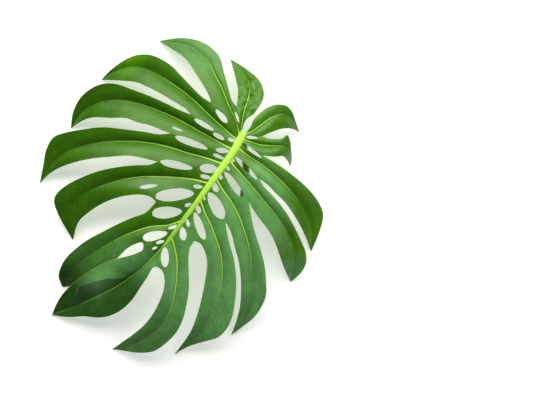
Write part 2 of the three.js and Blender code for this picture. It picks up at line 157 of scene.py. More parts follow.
# Holes: middle, length, width and direction in degrees.
holes = [
    (27, -11, 19, 4.2, 155), (44, 6, 27, 9.5, 179), (53, 35, 35, 8, 16), (24, 31, 20, 7.5, 18),
    (6, 20, 13, 6.3, 32), (77, 70, 18, 4.2, 26), (46, 69, 54, 11, 26), (4, 42, 21, 8.5, 42),
    (1, 53, 19, 5.5, 25), (37, 110, 52, 12, 34), (-2, 77, 28, 14.5, 44), (-8, 90, 17, 7, 35),
    (43, 165, 29, 6.6, 53), (5, 144, 60, 19.5, 51), (-11, 109, 15, 6.6, 40), (-7, 172, 47, 18.5, 50),
    (-21, 140, 11, 5.8, 65), (-30, 181, 17, 5.7, 63), (-20, 211, 40, 14.5, 58), (-33, 212, 13, 5.4, 62),
    (-55, 223, 32, 13, 138), (-48, 177, 21, 11.5, 141), (-41, 160, 13, 6, 152), (-57, 150, 46, 12.5, 157),
    (-37, 133, 14, 7.6, 157), (-52, 109, 47, 19, 166), (-30, 90, 17, 9.5, 160), (-24, 73, 9, 6, 150),
    (-47, 66, 49, 11.5, 172), (-42, 34, 50, 8, 0), (-27, 9, 39, 5.7, 10), (-12, -5, 21, 4.7, 42),
    (-34, 225, 9, 4, 68), (-30, 114, 8, 3.8, 150), (-22, 55, 9, 4.7, 163), (-18, 41, 7, 5, 163),
]


class Line:
    # a smooth line through points, read by its share of the length
    steps = 24        # short straights between two points

    def __init__(self, points):
        p = [Vector(q) for q in points]
        p = [2 * p[0] - p[1]] + p + [2 * p[-1] - p[-2]]      # one more point past each end
        self.points = []
        for i in range(1, len(p) - 2):
            for k in range(self.steps):
                self.points.append(self.between(p[i - 1:i + 3], k / self.steps))
        self.points.append(p[-2])
        self.far = [0.0]
        for a, b in zip(self.points, self.points[1:]):
            self.far.append(self.far[-1] + (b - a).length)
        self.length = self.far[-1]

    def between(self, p, u):
        # centripetal spline, so tight bends don't loop
        t = [0.0]
        for a, b in zip(p, p[1:]):
            t.append(t[-1] + max((b - a).length, 1e-6) ** 0.5)
        x = t[1] + u * (t[2] - t[1])

        def mix(a, b, i, j):
            return a * ((t[j] - x) / (t[j] - t[i])) + b * ((x - t[i]) / (t[j] - t[i]))
        a1, a2, a3 = mix(p[0], p[1], 0, 1), mix(p[1], p[2], 1, 2), mix(p[2], p[3], 2, 3)
        return mix(mix(a1, a2, 0, 2), mix(a2, a3, 1, 3), 1, 2)

    def at(self, share):
        goal = min(max(share, 0.0), 1.0) * self.length
        i = min(max(bisect_right(self.far, goal) - 1, 0), len(self.points) - 2)
        step = self.far[i + 1] - self.far[i]
        return self.points[i].lerp(self.points[i + 1], (goal - self.far[i]) / step if step else 0.0)

    def heading(self, share):
        return (self.at(share + 0.004) - self.at(share - 0.004)).normalized()


blade = {
    "rows": 66,            # from the midrib to a lobe's tip
    "webRows": 22,         # of them, those in the undivided web
    "columns": [0, 0.03, 0.07, 0.13, 0.2, 0.28, 0.37, 0.46, 0.55, 0.64, 0.73, 0.82, 0.9, 0.96, 1],
    "webLift": 10.0,       # how far the blade rises between two ribs, mm
    "arch": 2.4,           # how far each half lobe bulges up
    "trough": 0.9,         # narrow channel each rib lies in
    "troughWidth": 3.5,
    "pucker": 5.0,         # dimples in the first lobe's outer half
    "puckerSize": 9,
    "thickness": 0.9,
    "smoothAngle": 38,     # folds sharper than this stay crisp, degrees
}

midribSize = {
    "width": 6.3,          # half of its width at the stalk
    "thinWidth": 0.7,      # in the tip lobe
    "thinFrom": 320,       # distance along the leaf where it gets no thinner
    "taper": 0.9,
    "top": 0.35,           # height above the blade, as a share of its width
    "keel": 1.1,           # and below it
    "end": 7.0,            # length of the rounded end
    "crowd": 1.4,          # above 1, the rings crowd towards the stalk
    "rings": 150,
    "sides": 28,
}

midrib = Line(midribWay)


def midribWidth(station):
    thin = midribSize["thinWidth"]
    left = max(0.0, 1 - station / midribSize["thinFrom"])
    return thin + (midribSize["width"] - thin) * left ** midribSize["taper"]


def midribPoint(station, side=0):
    share = station / midrib.length
    way = midrib.heading(share)
    return midrib.at(share) + Vector((way.y, -way.x, 0)).normalized() * side * midribWidth(station) / 2


def flat(points):
    return [(q[0], q[1], 0) for q in points]


for number, lobe in enumerate(lobes):
    start = midribPoint(lobe["root"], (number < tipLobe) - (number > tipLobe))
    ends = [Vector((*webs[n][2][-1], 0)) for n in (number, number + 1)]
    lobe["height"] = start.z
    if lobe["rib"]:
        lobe["ribLine"] = Line(flat([start] + lobe["rib"] + [lobe["tip"]]))
        lobe["length"] = lobe["ribLine"].length
    else:
        lobe["length"] = midrib.length - lobe["root"]
    lobe["beforeLine"] = Line(flat([ends[0]] + lobe["before"] + [lobe["tip"]]))
    lobe["afterLine"] = Line(flat([ends[1]] + lobe["after"] + [lobe["tip"]]))
    ground = Vector((start.x, start.y, 0))
    lobe["foot"] = sum((end - ground).length for end in ends) / 2 / lobe["length"]

webLines = []
for number, (station, _, points) in enumerate(webs):
    first = midribPoint(station, 1 if number <= tipLobe else -1)
    webLines.append((first.z, Line(flat([first] + points))))


def ribShare(lobe, way):
    # way runs 0 to 1 in the web and 1 to 2 in the free lobe
    return lobe["foot"] * way if way <= 1 else lobe["foot"] + (1 - lobe["foot"]) * (way - 1)


def ribPoint(number, way):
    lobe = lobes[number]
    share = ribShare(lobe, way)
    if number == tipLobe:
        return midribPoint(lobe["root"] + share * lobe["length"])
    point = lobe["ribLine"].at(share)
    point.z = lobe["height"] + (layout["tipHeight"] - lobe["height"]) * share ** lobe["bend"]
    return point


def webPoint(number, way):
    height, line = webLines[number]
    point = line.at(way)
    near = [n for n in (number - 1, number) if 0 <= n < len(lobes)]
    level = sum(ribPoint(n, way).z for n in near) / len(near)
    lift = blade["webLift"] * webs[number][1]
    point.z = height + (level - height) * way + lift * math.sin(math.pi / 2 * way)
    return point


def edgePoint(number, way, after):
    if way <= 1:
        return webPoint(number + after, way)
    point = lobes[number]["afterLine" if after else "beforeLine"].at(way - 1)
    lift = webPoint(number + after, 1).z - ribPoint(number, 1).z
    held = min(1.0, (way - 1) / lobes[number].get("valley", 1.0))
    point.z = ribPoint(number, way).z + lift * (1 - held ** 2) * (1 + 0.6 * held)
    if number == foldedLobe and after:
        point.z -= foldedDrop * math.sin(math.pi * (way - 1)) ** 0.6
    return point


def place(point):
    shift = Vector(layout["shift"])
    return point * layout["scale"] + shift


def swell(point):
    wave = noise.noise(Vector((point.x, point.y, 5)) / layout["waveLength"])
    return wave * layout["waveHeight"]


def blendIn(value, low, high):
    t = min(max((value - low) / (high - low), 0.0), 1.0)      # low may be above high
    return t * t * (3 - 2 * t)


def foldAt(share):
    for low, high in zip(foldWay, foldWay[1:]):
        if share <= high[0]:
            t = (share - low[0]) / (high[0] - low[0])
            return low[1] + (high[1] - low[1]) * t, low[2] + (high[2] - low[2]) * t
    return foldWay[-1][1:]


def puckerAt(number, point, length):
    # only the first lobe is dimpled
    if number:
        return 0.0
    dimple = noise.noise(Vector((point.x, point.y, 3)) / blade["puckerSize"])
    return blade["pucker"] * dimple * blendIn(length, 0.4, 0.6) * (1 - length ** 4)


def makeLobe(number):
    lobe = lobes[number]
    columns = [-c for c in reversed(blade["columns"][1:])] + blade["columns"]
    bpy.ops.mesh.primitive_grid_add(x_subdivisions=len(columns) - 1, y_subdivisions=blade["rows"], size=2)
    piece = bpy.context.object
    mesh = piece.data
    wide = len(columns)
    along = [0.0] * len(mesh.vertices)
    across = [0.0] * len(mesh.vertices)
    rim = [0.0] * len(mesh.vertices)
    for row in range(blade["rows"] + 1):
        way = row / blade["webRows"]
        if row > blade["webRows"]:
            way = 1 + (row - blade["webRows"]) / (blade["rows"] - blade["webRows"])
        rib = ribPoint(number, way)
        edges = {True: edgePoint(number, way, True), False: edgePoint(number, way, False)}
        share = ribShare(lobe, way)
        length = way / 2
        for k, column in enumerate(columns):
            after = column < 0
            s = abs(column)
            if number == tipLobe and not after:
                ridge, rise = foldAt(share)
                ridge += (foldRest - ridge) * blendIn(length, 0.5, 0.3)
                if s < foldRest:
                    s = s * ridge / foldRest
                else:
                    s = ridge + (s - foldRest) * (1 - ridge) / (1 - foldRest)
            point = rib.lerp(edges[after], s)
            distance = (point - rib).length
            point.z += blade["arch"] * math.sin(math.pi * s) * math.sin(math.pi * length)
            deep = blade["trough"] * math.exp(-(distance / blade["troughWidth"]) ** 2)
            point.z -= deep * (1 - length) * (1 - s) * blendIn(row, 0, 8)
            if number == tipLobe and not after:
                point.z += rise * (s / ridge if s < ridge else (1 - s) / (1 - ridge)) ** 1.2
            point.z += puckerAt(number, point, length) + swell(point) * (1 - length ** 6)
            index = row * wide + k
            mesh.vertices[index].co = place(point)
            along[index] = share * lobe["length"] * layout["scale"]
            across[index] = math.copysign(distance * layout["scale"], column)
            # a free edge is pale: every lobe edge past its web, and both sides of the notch at the stalk
            free = way > 1 or (number == 0 and not after) or (number == len(lobes) - 1 and after)
            rim[index] = 1.0 if s == 1 and free else 0.0
    ribWay = mesh.uv_layers.new(name="ribWay")
    edgeWay = mesh.uv_layers.new(name="edgeWay")
    for loop in mesh.loops:
        v = loop.vertex_index
        ribWay.data[loop.index].uv = (along[v], across[v])
        edgeWay.data[loop.index].uv = (along[v] / (lobe["length"] * layout["scale"]), rim[v])
    return piece


print("laying out the lobes")
parts = [makeLobe(number) for number in range(len(lobes))]


def joinUp(pieces, name):
    bpy.ops.object.select_all(action="DESELECT")
    for piece in pieces:
        piece.select_set(True)
    bpy.context.view_layer.objects.active = pieces[0]
    bpy.ops.object.join()
    joined = bpy.context.object
    joined.name = name
    joined.data.name = name
    return joined


def mergeDoubles(distance):
    bpy.ops.object.mode_set(mode="EDIT")
    bpy.ops.mesh.select_all(action="SELECT")
    bpy.ops.mesh.remove_doubles(threshold=distance)
    bpy.ops.mesh.dissolve_degenerate(threshold=distance)
    bpy.ops.object.mode_set(mode="OBJECT")


def applyModifier(piece, kind, **settings):
    modifier = piece.modifiers.new(kind.title(), kind)
    for key, value in settings.items():
        setattr(modifier, key, value)
    bpy.context.view_layer.objects.active = piece
    bpy.ops.object.modifier_apply(modifier=modifier.name)


holeCut = {
    "ragged": 0.08,        # how uneven the outline is
    "fuller": 0.14,        # how much fuller one end is
    "around": 9,           # faces this far beyond the hole's ends are looked at, mm
    "fineBand": 3.2,       # more of it divides faces farther outside the outline
    "wide": 11,            # past this width the faces are cut once, else twice
    "slack": 0.01,         # keeps points that lie on the outline
    "snap": 0.2,           # a crossing this close to a point moves the point, as a share of the edge
}


def holeValue(hole, point):
    # below 1 inside the hole, which is an oval, fuller at one end and a little ragged
    x, y, length, width, turn = hole
    angle = math.radians(turn)
    dx, dy = point.x - x, point.y - y
    u = (dx * math.cos(angle) + dy * math.sin(angle)) / (length / 2)
    v = (dy * math.cos(angle) - dx * math.sin(angle)) / (width / 2)
    a = math.atan2(v, u)
    ragged = 1 + holeCut["ragged"] * noise.noise(Vector((math.cos(a) + x, math.sin(a) + y, 2.0)))
    return math.hypot(u, v / max(0.3, 1 + holeCut["fuller"] * u)) / ragged


def cutHole(sheet, hole):
    # subdivide the faces near the hole, split them along its outline, then drop those inside
    x, y, length, width, _ = hole
    shift = Vector(layout["shift"])
    middle = place(Vector((x, y, 0))).xy
    reach = (length / 2 + holeCut["around"]) * layout["scale"]
    within = 1 + holeCut["slack"]

    def value(co):
        return holeValue(hole, (co - shift) / layout["scale"])

    def facesWithin(limit):
        close = [f for f in sheet.faces if (f.verts[0].co.xy - middle).length < reach]
        return [f for f in close if min(value(v.co) for v in f.verts) < limit]

    fine = facesWithin(1 + holeCut["fineBand"] / width)
    edges = list(dict.fromkeys(e for f in fine for e in f.edges))
    cuts = 1 if width > holeCut["wide"] else 2
    bmesh.ops.subdivide_edges(sheet, edges=edges, cuts=cuts, use_grid_fill=True)
    outline = {}        # points on the hole's edge, kept in order
    for edge in list(dict.fromkeys(e for f in facesWithin(within) for e in f.edges)):
        a, b = edge.verts
        low, high = value(a.co) - 1, value(b.co) - 1
        if low * high >= 0 or a in outline or b in outline:
            continue
        t, far = 0.0, 1.0
        for _ in range(16):
            middleShare = (t + far) / 2
            if (value(a.co.lerp(b.co, middleShare)) - 1) * low > 0:
                t = middleShare
            else:
                far = middleShare
        # a crossing close to a point moves that point on to the outline
        if t < holeCut["snap"]:
            a.co = a.co.lerp(b.co, t)
            outline[a] = True
        elif t > 1 - holeCut["snap"]:
            b.co = a.co.lerp(b.co, t)
            outline[b] = True
        else:
            outline[bmesh.utils.edge_split(edge, a, t)[1]] = True
    for face in list(dict.fromkeys(f for v in outline for f in v.link_faces)):
        ends = [v for v in face.verts if v in outline]
        if len(ends) == 2 and not any(ends[0] in e.verts and ends[1] in e.verts for e in face.edges):
            bmesh.utils.face_split(face, ends[0], ends[1])
    inside = [f for f in facesWithin(within) if value(f.calc_center_median()) < 1]
    bmesh.ops.delete(sheet, geom=inside, context="FACES")


def newGroup(name, inputs, outputs):
    group = bpy.data.node_groups.new(name, "ShaderNodeTree")
    for label, kind, value in inputs:
        socket = group.interface.new_socket(name=label, in_out="INPUT", socket_type=kind)
        if value is not None:
            socket.default_value = value
    for label, kind in outputs:
        group.interface.new_socket(name=label, in_out="OUTPUT", socket_type=kind)
    return group, group.nodes.new("NodeGroupInput"), group.nodes.new("NodeGroupOutput")


def addNode(tree, kind, **values):
    # in_Name or in_0 sets an input, anything else sets the node itself
    node = tree.nodes.new(kind)
    for key, value in values.items():
        if key.startswith("in_"):
            name = key[3:]
            node.inputs[int(name) if name.isdigit() else name].default_value = value
        else:
            setattr(node, key, value)
    return node


def calc(tree, operation, a, b=0.5):
    # one step of arithmetic; a and b are numbers or sockets
    node = tree.nodes.new("ShaderNodeMath")
    node.operation = operation
    for socket, value in zip(node.inputs, (a, b)):
        if isinstance(value, (int, float)):
            socket.default_value = value
        else:
            tree.links.new(value, socket)
    return node.outputs[0]


def times(tree, a, b):
    return calc(tree, "MULTIPLY", a, b)


def plus(tree, a, b):
    return calc(tree, "ADD", a, b)


def separate(tree, vector):
    split = tree.nodes.new("ShaderNodeSeparateXYZ")
    tree.links.new(vector, split.inputs[0])
    return split.outputs


def combine(tree, x, y):
    joined = tree.nodes.new("ShaderNodeCombineXYZ")
    tree.links.new(x, joined.inputs[0])
    tree.links.new(y, joined.inputs[1])
    return joined.outputs[0]


def mixColour(tree, factor, a, b, blend="MIX"):
    node = tree.nodes.new("ShaderNodeMix")
    node.data_type = "RGBA"
    node.blend_type = blend
    for socket, value in ((node.inputs[0], factor), (node.inputs[6], a), (node.inputs[7], b)):
        if isinstance(value, (int, float, tuple)):
            socket.default_value = value
        else:
            tree.links.new(value, socket)
    return node.outputs[2]


def remap(tree, value, low, high, toLow=0.0, toHigh=1.0):
    node = tree.nodes.new("ShaderNodeMapRange")
    node.interpolation_type = "SMOOTHSTEP"
    tree.links.new(value, node.inputs[0])
    for socket, number in zip(node.inputs[1:5], (low, high, toLow, toHigh)):
        socket.default_value = number
    return node.outputs[0]


def noiseAt(tree, vector, scale, detail=2.0, rough=0.5):
    node = tree.nodes.new("ShaderNodeTexNoise")
    tree.links.new(vector, node.inputs["Vector"])
    node.inputs["Scale"].default_value = scale
    node.inputs["Detail"].default_value = detail
    node.inputs["Roughness"].default_value = rough
    return node.outputs[0]


veinLook = {
    "spacing": 0.0095,     # between two side veins, metres
    "slant": 0.75,         # how far they lean towards the tip
    "bow": 9.0,
    "waver": 0.012,
    "netScale": 190.0,     # of the fine net between them
}


def makeVeinGroup():
    # fine side veins that leave the rib at a slant and bow towards the tip, and the net between them
    outputs = ("Veins", "Net", "Streaks", "Bands", "Along", "Across")
    group, given, result = newGroup("leafVeins", [
        ("Spacing", "NodeSocketFloat", veinLook["spacing"]), ("Slant", "NodeSocketFloat", veinLook["slant"])],
        [(name, "NodeSocketFloat") for name in outputs])
    along, side, _ = separate(group, addNode(group, "ShaderNodeUVMap", uv_map="ribWay").outputs[0])
    across = calc(group, "ABSOLUTE", side)
    where = addNode(group, "ShaderNodeTexCoord").outputs["Object"]
    waver = times(group, calc(group, "SUBTRACT", noiseAt(group, where, 45.0), 0.5), veinLook["waver"])
    bow = times(group, times(group, across, across), veinLook["bow"])
    slanted = times(group, across, given.outputs["Slant"])
    way = calc(group, "SUBTRACT", calc(group, "SUBTRACT", along, slanted), bow)
    phase = calc(group, "DIVIDE", plus(group, way, waver), given.outputs["Spacing"])
    line = remap(group, calc(group, "PINGPONG", phase, 0.5), 0.0, 0.16, 1.0, 0.0)
    cells = addNode(group, "ShaderNodeTexVoronoi", feature="DISTANCE_TO_EDGE", in_Scale=veinLook["netScale"])
    group.links.new(where, cells.inputs["Vector"])
    net = remap(group, cells.outputs[0], 0.0, 0.12, 1.0, 0.0)
    # streaks follow the side veins, bands follow the rib
    streaks = combine(group, times(group, way, 150.0), times(group, side, 16.0))
    streaks = noiseAt(group, streaks, 1.0, 3.0, 0.6)
    bands = combine(group, times(group, along, 11.0), times(group, side, 95.0))
    bands = noiseAt(group, bands, 1.0, 3.0, 0.6)
    for name, value in zip(outputs, (line, net, streaks, bands, along, across)):
        group.links.new(value, result.inputs[name])
    return group


veinGroup = makeVeinGroup()


def newMaterial(name):
    material = bpy.data.materials.new(name)
    material.use_nodes = True
    tree = material.node_tree
    tree.nodes.clear()
    shader = tree.nodes.new("ShaderNodeBsdfPrincipled")
    output = tree.nodes.new("ShaderNodeOutputMaterial")
    tree.links.new(shader.outputs[0], output.inputs[0])
    return material, tree, shader


def addBump(tree, shader, height, strength, distance):
    bump = addNode(tree, "ShaderNodeBump", in_Strength=strength, in_Distance=distance)
    tree.links.new(height, bump.inputs["Height"])
    tree.links.new(bump.outputs[0], shader.inputs["Normal"])


upperLook = {
    "deep": (0.033, 0.132, 0.0, 1),        # saturated green of most lobes
    "fresh": (0.041, 0.155, 0.0, 1),       # yellower green of the lobes round the stalk
    "endGreenAndPaintedLight": (0.075, 0.25, 0.0, 1),        # brightest green at the ends of two lobes: partly their own green, partly painted light on their turned-down ends
    "paintedSheen": (0.102, 0.28, 0.082, 1),       # painted sheen: paler, bluer green on the far side and beside the midrib
    # deeper green of the tip, partly painted shade below the tip lobe's fold
    "tipGreenAndFoldShade": (0.006, 0.048, 0.0, 1),
    "pale": (0.26, 0.52, 0.045, 1),        # beside the ribs
    "ribShadowLine": (0.008, 0.045, 0.002, 1),      # painted shadow: thin dark line beside each rib, where it sits in its channel
    "rim": (0.42, 0.55, 0.09, 1),
    "speck": (0.02, 0.035, 0.01, 1),
    "roughness": 0.34,
    "sheen": 0.42,
    "sheenTint": (0.85, 1.0, 0.7, 1),
    "bump": 0.45,
    "bumpDepth": 0.001,
}


def greensAndPaintedLight(tree, where):
    # where each green lies on the leaf, with painted sheen, painted light and painted shade among them; x and y
    # are in metres from the middle
    look = upperLook
    x, y, _ = separate(tree, where)
    near = plus(tree, times(tree, x, 0.5), y)
    colour = mixColour(tree, remap(tree, near, -0.11, -0.19), look["deep"], look["fresh"])
    # the ends of two lobes: a brighter green of their own, with painted light where they turn down
    far = plus(tree, x, times(tree, y, 0.9))
    ends = calc(tree, "MAXIMUM", times(tree, remap(tree, far, -0.25, -0.28), remap(tree, x, -0.16, -0.2)),
                times(tree, remap(tree, x, 0.18, 0.21), remap(tree, y, -0.08, -0.12)))
    colour = mixColour(tree, ends, colour, look["endGreenAndPaintedLight"])
    # painted sheen, a paler and bluer green, drifts in from the far side with ragged limits
    ragged = times(tree, calc(tree, "SUBTRACT", noiseAt(tree, where, 9.0, 3.0), 0.5), 0.3)
    drift = plus(tree, plus(tree, times(tree, x, -1.3), times(tree, y, 1.4)), ragged)
    paintedSheen = times(tree, remap(tree, drift, 0.07, 0.2), remap(tree, x, 0.03, -0.015, 0.3, 1.0))
    # more painted sheen beside the midrib and in one more patch
    beside = times(tree, remap(tree, x, -0.03, -0.06, 0.0, 0.72), remap(tree, far, -0.29, -0.23))
    beside = times(tree, beside, remap(tree, y, -0.19, -0.15))
    second = times(tree, remap(tree, x, 0.07, 0.14, 0.0, 0.5), remap(tree, y, -0.17, -0.2))
    paintedSheen = calc(tree, "MAXIMUM", calc(tree, "MAXIMUM", paintedSheen, beside), second)
    colour = mixColour(tree, paintedSheen, colour, look["paintedSheen"])
    # the tip is darkest: a deeper green there, with painted shade below the tip lobe's fold
    lower = times(tree, remap(tree, y, 0.06, 0.13), remap(tree, x, 0.0, -0.045))
    tip = calc(tree, "MAXIMUM", lower, remap(tree, y, 0.15, 0.19))
    tip = times(tree, tip, remap(tree, x, -0.095, -0.07, 0.45, 1.0))
    return mixColour(tree, times(tree, tip, 0.88), colour, look["tipGreenAndFoldShade"])


def makeUpperMaterial():
    material, tree, shader = newMaterial("leafUpperFace")
    look = upperLook
    where = addNode(tree, "ShaderNodeTexCoord").outputs["Object"]
    veins = addNode(tree, "ShaderNodeGroup", node_tree=veinGroup).outputs
    share, rim, _ = separate(tree, addNode(tree, "ShaderNodeUVMap", uv_map="edgeWay").outputs[0])
    colour = greensAndPaintedLight(tree, where)
    # mottled, streaked, and darker in bands towards the lobes' ends
    mottle = noiseAt(tree, where, 60.0, 4.0, 0.6)
    tint = remap(tree, mottle, 0.3, 0.7, 0.88, 1.1)
    tint = times(tree, tint, remap(tree, veins["Streaks"], 0.3, 0.7, 0.93, 1.07))
    ends = times(tree, remap(tree, share, 0.3, 0.9), remap(tree, veins["Bands"], 0.62, 0.38))
    tint = times(tree, tint, remap(tree, ends, 0.0, 1.0, 1.04, 0.8))
    dark = addNode(tree, "ShaderNodeCombineColor")
    for socket in dark.inputs[:3]:
        tree.links.new(tint, socket)
    colour = mixColour(tree, 1.0, colour, dark.outputs[0], "MULTIPLY")
    # fine veins fade towards the edges
    fineFade = remap(tree, veins["Across"], 0.002, 0.03, 0.05, 0.01)
    colour = mixColour(tree, times(tree, veins["Veins"], fineFade), colour, look["pale"])
    colour = mixColour(tree, times(tree, veins["Net"], 0.02), colour, look["pale"])
    # a pale halo and then a painted shadow line beside the ribs and the midrib, both gone near the lobes' ends
    reach = remap(tree, share, 0.3, 0.72, 1.0, 0.0)
    halo = times(tree, remap(tree, veins["Across"], 0.0004, 0.0019, 0.4, 0.0), reach)
    colour = mixColour(tree, halo, colour, look["pale"])
    shade = times(tree, remap(tree, veins["Across"], 0.0016, 0.0028, 0.45, 0.0), reach)
    shade = times(tree, shade, remap(tree, veins["Across"], 0.0008, 0.0014))
    colour = mixColour(tree, shade, colour, look["ribShadowLine"])
    colour = mixColour(tree, remap(tree, veins["Along"], 0.0, 0.006, 0.5, 0.0), colour, look["pale"])
    specks = addNode(tree, "ShaderNodeTexVoronoi", in_Scale=75.0)
    tree.links.new(where, specks.inputs["Vector"])
    few = times(tree, remap(tree, specks.outputs["Distance"], 0.06, 0.1, 1.0, 0.0),
                remap(tree, noiseAt(tree, where, 14.0), 0.5, 0.58))
    colour = mixColour(tree, times(tree, few, 0.7), colour, look["speck"])
    colour = mixColour(tree, remap(tree, rim, 0.55, 0.9, 0.0, 0.8), colour, look["rim"])
    tree.links.new(colour, shader.inputs["Base Color"])
    patches = noiseAt(tree, where, 26.0, 3.0)
    gloss = remap(tree, patches, 0.3, 0.7, look["roughness"] - 0.05, look["roughness"] + 0.1)
    tree.links.new(gloss, shader.inputs["Roughness"])
    # the blade swells a little between its veins
    puffs = plus(tree, times(tree, veins["Veins"], -0.22), times(tree, veins["Net"], -0.07))
    puffs = plus(tree, puffs, times(tree, noiseAt(tree, where, 80.0, 3.0), 0.8))
    puffs = plus(tree, puffs, times(tree, veins["Streaks"], 0.7))
    addBump(tree, shader, puffs, look["bump"], look["bumpDepth"])
    shader.inputs["Specular IOR Level"].default_value = look["sheen"]
    shader.inputs["Specular Tint"].default_value = look["sheenTint"]
    return material


underLook = {
    "leaf": (0.11, 0.245, 0.05, 1),
    "pale": (0.3, 0.47, 0.12, 1),
    "roughness": 0.6,
}


def makeUnderMaterial():
    material, tree, shader = newMaterial("leafUnderFace")
    look = underLook
    where = addNode(tree, "ShaderNodeTexCoord").outputs["Object"]
    veins = addNode(tree, "ShaderNodeGroup", node_tree=veinGroup).outputs
    patches = remap(tree, noiseAt(tree, where, 30.0, 4.0), 0.3, 0.7, 0.0, 0.35)
    colour = mixColour(tree, patches, look["leaf"], look["pale"])
    colour = mixColour(tree, times(tree, veins["Veins"], 0.45), colour, look["pale"])
    colour = mixColour(tree, times(tree, veins["Net"], 0.2), colour, look["pale"])
    tree.links.new(colour, shader.inputs["Base Color"])
    rough = noiseAt(tree, where, 50.0)
    gloss = remap(tree, rough, 0.3, 0.7, look["roughness"] - 0.08, look["roughness"] + 0.08)
    tree.links.new(gloss, shader.inputs["Roughness"])
    addBump(tree, shader, plus(tree, veins["Veins"], times(tree, veins["Net"], 0.4)), 0.5, 0.0006)
    return material


rimLook = {
    "edge": (0.3, 0.42, 0.08, 1),
    "green": (0.07, 0.2, 0.02, 1),
}


def makeRimMaterial():
    material, tree, shader = newMaterial("leafCutEdge")
    where = addNode(tree, "ShaderNodeTexCoord").outputs["Object"]
    colour = mixColour(tree, remap(tree, noiseAt(tree, where, 90.0), 0.35, 0.65), rimLook["edge"],
                       rimLook["green"])
    tree.links.new(colour, shader.inputs["Base Color"])
    tree.links.new(remap(tree, noiseAt(tree, where, 40.0), 0.3, 0.7, 0.4, 0.6), shader.inputs["Roughness"])
    return material


# one sheet, with the holes cut through, then given its thickness
leafSkin = joinUp(parts, "leaf_skin")
for material in (makeUpperMaterial(), makeUnderMaterial(), makeRimMaterial()):
    leafSkin.data.materials.append(material)
mergeDoubles(0.00002)
sheet = bmesh.new()
sheet.from_mesh(leafSkin.data)
for hole in holes:
    cutHole(sheet, hole)
sheet.to_mesh(leafSkin.data)
sheet.free()
print("holes cut,", len(leafSkin.data.vertices), "points in the sheet")
# the underside and the cut edges take the second and third material
applyModifier(leafSkin, "SOLIDIFY", thickness=blade["thickness"] * layout["scale"], offset=-1,
              use_even_offset=False, material_offset=1, material_offset_rim=2)
bpy.ops.object.shade_smooth_by_angle(angle=math.radians(blade["smoothAngle"]))
print("blade made,", len(leafSkin.data.polygons), "faces")


barSmoothAngle = 50   # only the rims of a bar's flat ends stay crisp, degrees


def makeBar(name, line, rings, sides, sizeAt):
    # a round bar, its side edges divided into rings, then laid along a line;
    # sizeAt gives its half width, its height above and below the line, and how far it sinks
    bpy.ops.object.select_all(action="DESELECT")
    bpy.ops.mesh.primitive_cylinder_add(vertices=sides, radius=1, depth=1, end_fill_type="TRIFAN")
    bar = bpy.context.object
    bar.name = name
    bar.data.name = name
    bpy.ops.object.mode_set(mode="EDIT")
    bpy.ops.mesh.select_mode(type="EDGE")
    bpy.ops.mesh.select_all(action="DESELECT")
    bpy.ops.object.mode_set(mode="OBJECT")
    for edge in bar.data.edges:
        low, high = (bar.data.vertices[v].co for v in edge.vertices)
        edge.select = abs(low.z - high.z) > 0.5
    bpy.ops.object.mode_set(mode="EDIT")
    bpy.ops.mesh.subdivide(number_cuts=rings)
    bpy.ops.object.mode_set(mode="OBJECT")
    barWay = bar.data.uv_layers.new(name="barWay")
    for loop in bar.data.loops:
        co = bar.data.vertices[loop.vertex_index].co
        barWay.data[loop.index].uv = (co.z + 0.5, (co.y + 1) / 2)
    for vertex in bar.data.vertices:
        share = vertex.co.z + 0.5
        width, top, keel, sink = sizeAt(share)
        ahead = line.heading(share)
        side = Vector((ahead.y, -ahead.x, 0)).normalized()
        up = side.cross(ahead)
        across, rise = vertex.co.x, -vertex.co.y
        point = line.at(share) - Vector((0, 0, sink))
        point += side * across * width + up * rise * (top if rise > 0 else keel)
        vertex.co = place(point)
    bpy.ops.object.mode_set(mode="EDIT")
    bpy.ops.mesh.select_all(action="SELECT")
    bpy.ops.mesh.normals_make_consistent(inside=False)
    bpy.ops.object.mode_set(mode="OBJECT")
    bpy.ops.object.shade_smooth_by_angle(angle=math.radians(barSmoothAngle))
    return bar


def midribSizeAt(share):
    station = share ** midribSize["crowd"] * midrib.length
    end = max(0.0, 1 - station / midribSize["end"])
    width = midribWidth(station) * math.sqrt(1 - 0.85 * end ** 2)
    return width, width * midribSize["top"], width * midribSize["keel"], 0.0


class Crowded:
    # the same line, with its rings closer together at the start
    def __init__(self, line, power):
        self.line, self.power = line, power

    def at(self, share):
        return self.line.at(share ** self.power)

    def heading(self, share):
        return self.line.heading(share ** self.power)


midribLine = Crowded(midrib, midribSize["crowd"])
midribPiece = makeBar("midrib", midribLine, midribSize["rings"], midribSize["sides"], midribSizeAt)

sideRib = {
    "width": 2.4,          # half of its width at the midrib, in a long lobe
    "endWidth": 0.3,
    "poke": 0.6,           # how far it stands out above the blade
    "depth": 3.2,          # extra depth below the blade
    "reach": 0.78,         # where it ends, as a share of its lobe
    "points": 30,
    "rings": 90,
    "sides": 12,
}


def makeSideRib(number):
    points = []
    for k in range(sideRib["points"] + 1):
        way = 2 * sideRib["reach"] * k / sideRib["points"]
        point = ribPoint(number, way)
        length = way / 2
        point.z -= blade["trough"] * (1 - length) * blendIn(way * blade["webRows"], 0, 8)
        point.z += puckerAt(number, point, length) + swell(point) * (1 - length ** 6)
        points.append(point)
    scale = min(1.0, lobes[number]["length"] / 150)

    def sizeAt(share):
        width = sideRib["endWidth"] + (sideRib["width"] - sideRib["endWidth"]) * (1 - share) ** 1.5
        width *= 0.55 + 0.45 * scale
        half = width * 0.95
        fade = 1 - blendIn(share, 0.65, 1.0)
        return width, half, half + sideRib["depth"] * (1 - share) * 0.4, half - sideRib["poke"] * fade + 0.1
    return makeBar(f"rib_{number}", Line(points), sideRib["rings"], sideRib["sides"], sizeAt)


